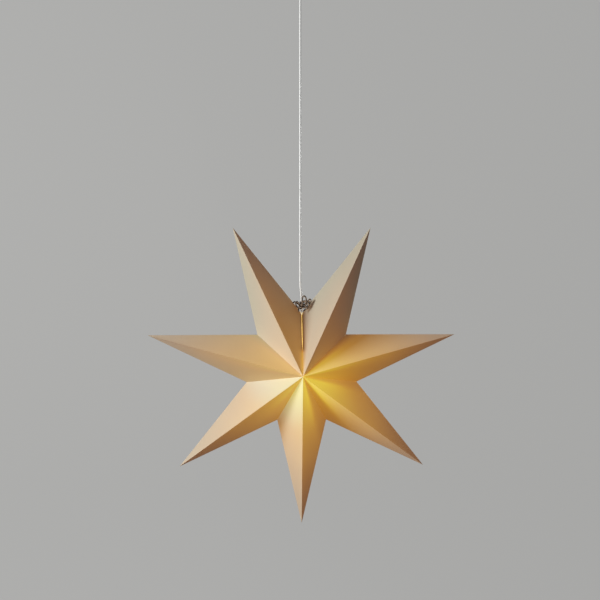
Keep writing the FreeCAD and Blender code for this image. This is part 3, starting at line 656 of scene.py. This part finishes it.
def flex_material():
    """White plastic sleeve, satin, a little greyed by handling."""
    material, tree, shader = new_material("white_flex", Roughness=0.38)
    grain = use_group(tree, FINE_GRAIN, Size=0.0015, Patch=0.08, Contrast=0.06)
    tree.links.new(tinted(tree, (0.86, 0.86, 0.84), grain["Tone"]), shader.inputs["Base Color"])
    return material


def smooth_line(name, route):
    """An open smooth curve with the route's points as its control points."""
    curve = bpy.data.curves.new(name, "CURVE")
    curve.dimensions = "3D"
    spline = curve.splines.new("NURBS")
    spline.points.add(len(route) - 1)
    for point, spot in zip(spline.points, route):
        point.co = (*spot, 1)
    spline.order_u = 3
    spline.use_endpoint_u = True
    spline.resolution_u = 16
    return place_object(name, curve)


flex = smooth_line("flex", FLEX_ROUTE)
flex.data.bevel_depth = FLEX_WIDTH / 2
flex.data.bevel_resolution = 5
flex.data.use_fill_caps = True
flex.data.materials.append(flex_material())
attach(flex, "root")
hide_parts("cord")


# ---------------------------------------------------------------------------
# The two tie strings, each of three twisted plies, two pale grey and one brown.
# Each is knotted inside its own point, comes out by the hole, goes round the
# flex and ends in its bows and tail.
# ---------------------------------------------------------------------------
STRING_WIDTH = 0.003
WRAP_PITCH = 0.0035
WRAP_CLEARANCE = 0.00015
KNOT_RADIUS = 0.0021
KNOT_DEPTH = 0.0016
KNOT_STEP = 0.00032
INSIDE_CARD = 0.0057
OUTSIDE_CARD = 0.005


def ply_material(name, colour):
    """Loosely spun yarn: matt, with fibres that catch the light unevenly."""
    material, tree, shader = new_material(name, Roughness=0.85, Specular_IOR_Level=0.2, Sheen_Weight=0.12)
    fibres = use_group(tree, FINE_GRAIN, Size=0.00035, Patch=0.004, Contrast=0.7)
    tree.links.new(tinted(tree, colour, fibres["Tone"]), shader.inputs["Base Color"])
    give_bump(tree, shader, fibres["Height"], strength=0.6, distance=0.0002)
    return material


def twisted_string_tree(plies=3, ply_radius=0.235, ply_offset=0.262):
    """Lays plies round a line, each a round yarn; their radius and offset are shares of the string's width."""
    tree, size, end = new_group("GeometryNodeTree", "twisted_string", [
        ("Geometry", "Geometry"), ("Width", "Float"), ("Lay", "Float"), ("Step", "Float"),
        ("Brown Ply", "Material"), ("Pale Ply", "Material"),
    ], [("Geometry", "Geometry")])
    full_turn = 2 * math.pi
    line = add_node(tree, "GeometryNodeMeshToCurve", {0: size["Geometry"]})
    even = add_node(tree, "GeometryNodeResampleCurve", {
        "Curve": line.outputs[0], "Length": size["Step"]}, mode="LENGTH")
    along = add_node(tree, "GeometryNodeSplineParameter").outputs["Length"]
    normal = add_node(tree, "GeometryNodeInputNormal").outputs[0]
    tangent = add_node(tree, "GeometryNodeInputTangent").outputs[0]
    across = vector_maths(tree, "CROSS_PRODUCT", normal, tangent)
    radius = product(tree, size["Width"], ply_radius)
    offset = product(tree, size["Width"], ply_offset)
    joined = add_node(tree, "GeometryNodeJoinGeometry")
    for ply in range(plies):
        twist = product(tree, maths(tree, "DIVIDE", along, size["Lay"]), full_turn)
        turn = maths(tree, "ADD", twist, full_turn * ply / plies)
        shift = vector_maths(tree, "ADD", *(
            vector_maths(tree, "SCALE", way, Scale=product(tree, maths(tree, wave, turn), offset))
            for way, wave in ((normal, "COSINE"), (across, "SINE"))))
        moved = add_node(tree, "GeometryNodeSetPosition", {"Geometry": even.outputs[0], "Offset": shift})
        yarn = add_node(tree, "GeometryNodeCurvePrimitiveCircle", {"Resolution": 8, "Radius": radius}, mode="RADIUS")
        tube = add_node(tree, "GeometryNodeCurveToMesh", {
            "Curve": moved.outputs[0], "Profile Curve": yarn.outputs[0], "Fill Caps": True})
        whole = add_node(tree, "GeometryNodeRealizeInstances", {"Geometry": tube.outputs[0]})
        finished = add_node(tree, "GeometryNodeSetMaterial", {
            "Geometry": whole.outputs[0], "Material": size["Brown Ply" if ply == 0 else "Pale Ply"]})
        tree.links.new(finished.outputs[0], joined.inputs[0])
    tree.links.new(joined.outputs[0], end[0])
    return tree


def wraps(hand, turns, top, steps=8):
    """Turns of a string round the flex, from behind it, downwards to its front."""
    radius = (FLEX_WIDTH / 2 + STRING_WIDTH / 2 + WRAP_CLEARANCE) / math.cos(math.pi / steps)
    turned = []
    for step in range(round(turns * steps) + 1):
        angle = math.pi + hand * 2 * math.pi * step / steps
        turned.append((radius * math.sin(angle), -radius * math.cos(angle), top - WRAP_PITCH * step / steps))
    return turned


def knot(middle, along, out, spots=11, spots_a_turn=7):
    """A stopper knot: a turn and a half of the string's own end round itself, drawn tight."""
    turned = []
    for step in range(spots):
        angle = 2 * math.pi * step / spots_a_turn
        way = Vector((0, 1, 0)) * math.cos(angle) + along * math.sin(angle)
        turned.append(middle + way * KNOT_RADIUS + out * (KNOT_DEPTH - KNOT_STEP * step))
    return turned


def tie_string(name, hand, across, wrapped_from, bow):
    """A tie string's route from its knot, in metres from the notch, made into twisted string."""
    along, out = end_point_ways(hand)
    inside = along * TIE_SETBACK - out * INSIDE_CARD
    route = knot(inside, along, out) + [inside, along * TIE_SETBACK + out * OUTSIDE_CARD, across]
    route += wraps(hand, turns=1.5, top=wrapped_from) + bow
    line = smooth_line(name, [notch + Vector(spot) for spot in route])
    path = place_object(name, bpy.data.meshes.new_from_object(line))
    bpy.data.objects.remove(line)
    # Off the flex the yarn lies slack, so it is a little fuller than the string drawn tight.
    fuller = 1.2
    grow(path, TWISTED_STRING, Width=STRING_WIDTH * fuller, Lay=0.011, Step=0.0005,
         Brown_Ply=BROWN_PLY, Pale_Ply=PALE_PLY)
    tie = settled(path)
    tie.name = f"twisted_{name}"
    tie.data.shade_smooth()
    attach(tie, "root")
    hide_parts(name)


TWISTED_STRING = twisted_string_tree()
BROWN_PLY = ply_material("brown_ply", (0.035, 0.019, 0.011))
PALE_PLY = ply_material("pale_ply", (0.63, 0.49, 0.37))
tie_string("tie_string_right", hand=1, across=(0.009, 0.004, 0.028), wrapped_from=0.026, bow=[
    (0.006, -0.0058, 0.019), (0.011, -0.0062, 0.026), (0.0095, -0.0066, 0.0365), (0.0045, -0.007, 0.041),
    (0.0008, -0.0074, 0.0355), (0.0005, -0.0078, 0.028), (-0.0018, -0.0084, 0.020), (0.002, -0.0092, 0.014),
    (0.009, -0.0096, 0.018), (0.0135, -0.010, 0.026), (0.0165, -0.0104, 0.0335), (0.021, -0.0108, 0.031),
    (0.019, -0.0112, 0.023), (0.012, -0.0117, 0.016), (0.004, -0.0123, 0.0125), (-0.0015, -0.0126, 0.016),
    (0.0005, -0.0129, 0.022), (0.006, -0.0133, 0.027), (0.0115, -0.0138, 0.029), (0.015, -0.0145, 0.024),
    (0.014, -0.0151, 0.0165), (0.0095, -0.0155, 0.0105), (0.003, -0.0158, 0.007),
])
tie_string("tie_string_left", hand=-1, across=(-0.009, 0.004, 0.0205), wrapped_from=0.0175, bow=[
    (-0.005, -0.0056, 0.0105), (-0.011, -0.006, 0.015), (-0.015, -0.0066, 0.023), (-0.011, -0.0074, 0.028),
    (-0.0065, -0.0082, 0.023), (-0.0055, -0.0088, 0.0155), (-0.008, -0.0093, 0.009), (-0.007, -0.0096, 0.0035),
])


# ---------------------------------------------------------------------------
# The studio: a pale seamless floor and backdrop, one soft lamp on the left
# with a weak even fill, a lamp for the flex alone, a lamp behind, and the
# camera.
# ---------------------------------------------------------------------------
def backdrop(half_width=4, front=-2.2, bend_start=0.5, floor_height=-2.45, bend_radius=0.9, top=1.6):
    """A floor that sweeps up into a wall behind the star."""
    corners = [(front, floor_height), (bend_start, floor_height)]
    for turn in range(6, 91, 6):
        angle = math.radians(turn)
        corners.append((bend_start + bend_radius * math.sin(angle),
                        floor_height + bend_radius - bend_radius * math.cos(angle)))
    corners.append((bend_start + bend_radius, top))
    points = [(x, y, z) for y, z in corners for x in (-half_width, half_width)]
    faces = [(2 * i, 2 * i + 1, 2 * i + 3, 2 * i + 2) for i in range(len(corners) - 1)]
    mesh = bpy.data.meshes.new("backdrop")
    mesh.from_pydata(points, [], faces)
    mesh.shade_smooth()
    return place_object("backdrop", mesh)


def seen_outright(tree):
    """One where the camera sees the surface, straight or in a gloss or through glass, and nought for light."""
    path = add_node(tree, "ShaderNodeLightPath").outputs
    through = maths(tree, "MAXIMUM", path["Is Glossy Ray"], path["Is Transmission Ray"])
    return maths(tree, "MAXIMUM", path["Is Camera Ray"], through)


def mixed_shaders(tree, share, first, second):
    """From one shader to a second, by a share of it."""
    return add_node(tree, "ShaderNodeMixShader", {0: share, 1: first.outputs[0], 2: second.outputs[0]})


def backdrop_paper():
    """Pale grey backdrop paper, seen only from its front."""
    material = bpy.data.materials.new("backdrop_paper")
    material.use_nodes = True
    tree = material.node_tree
    tree.nodes.clear()
    dark = add_node(tree, "ShaderNodeBsdfDiffuse", {"Color": (0.12, 0.12, 0.12, 1)})
    pale = add_node(tree, "ShaderNodeBsdfDiffuse", {"Color": (0.16, 0.16, 0.157, 1)})
    lift = add_node(tree, "ShaderNodeEmission", {"Color": (0.36, 0.36, 0.353, 1), "Strength": 1.0})
    lifted = add_node(tree, "ShaderNodeAddShader", {0: pale.outputs[0], 1: lift.outputs[0]})
    shown = mixed_shaders(tree, seen_outright(tree), dark, lifted)
    behind = add_node(tree, "ShaderNodeNewGeometry").outputs["Backfacing"]
    whole = mixed_shaders(tree, behind, shown, add_node(tree, "ShaderNodeBsdfTransparent"))
    add_node(tree, "ShaderNodeOutputMaterial", {"Surface": whole.outputs[0]})
    return material


def studio_air():
    """The world: a pale grey to the camera, and a weak even fill for the lamp."""
    world = bpy.data.worlds.new("studio")
    world.use_nodes = True
    tree = world.node_tree
    tree.nodes.clear()
    fill = add_node(tree, "ShaderNodeBackground", {"Color": (1, 1, 1, 1), "Strength": 0.08})
    pale = add_node(tree, "ShaderNodeBackground", {"Color": (0.40, 0.40, 0.392, 1), "Strength": 1.0})
    mixed = mixed_shaders(tree, seen_outright(tree), fill, pale)
    add_node(tree, "ShaderNodeOutputWorld", {"Surface": mixed.outputs[0]})
    return world


def soft_lamp(name, place, aim, size, power):
    """A square soft box that points at a spot."""
    light = bpy.data.lights.new(name, "AREA")
    light.size = size
    light.energy = power
    lamp = place_object(name, light)
    lamp.location = place
    lamp.rotation_euler = (aim - place).to_track_quat("-Z", "Y").to_euler()
    return lamp


floor = backdrop()
floor.data.materials.append(backdrop_paper())
bpy.context.scene.world = studio_air()

soft_lamp("key", place=star_middle + Vector((-2.58, -1.29, 0.81)), aim=star_middle, size=1.0, power=50)
# A second soft box is flagged off everything but the flex.
flex_lamp = soft_lamp(
    "flex_lamp", place=Vector((-0.9, -1.3, -0.40)), aim=Vector((0, 0, -0.42)), size=0.5, power=13)
lit_by_it = bpy.data.collections.new("lit_by_flex_lamp")
lit_by_it.objects.link(flex)
flex_lamp.light_linking.receiver_collection = lit_by_it
# A third stands behind on the right, out of sight, and lights only what faces away from the camera.
back_lamp = soft_lamp(
    "back_lamp", place=Vector((0.5, 1.05, -0.45)), aim=Vector((0, 0, -0.6)), size=0.7, power=7)
back_lamp.visible_camera = False

CAMERA_ASIDE = -0.0642
CAMERA_DISTANCE = 2.2564
CAMERA_ABOVE_STAR = 0.3536
LOOKS_DOWN = math.radians(4.93)
LOOKS_RIGHT = math.radians(1.62)
camera = place_object("camera", bpy.data.cameras.new("camera"))
camera.data.lens = 60
camera.data.sensor_width = 36
camera.location = (CAMERA_ASIDE, -CAMERA_DISTANCE, star_middle.z + CAMERA_ABOVE_STAR)
camera.rotation_euler = (math.pi / 2 - LOOKS_DOWN, 0, -LOOKS_RIGHT)
bpy.context.scene.camera = camera
bpy.context.scene.view_settings.view_transform = "Standard"
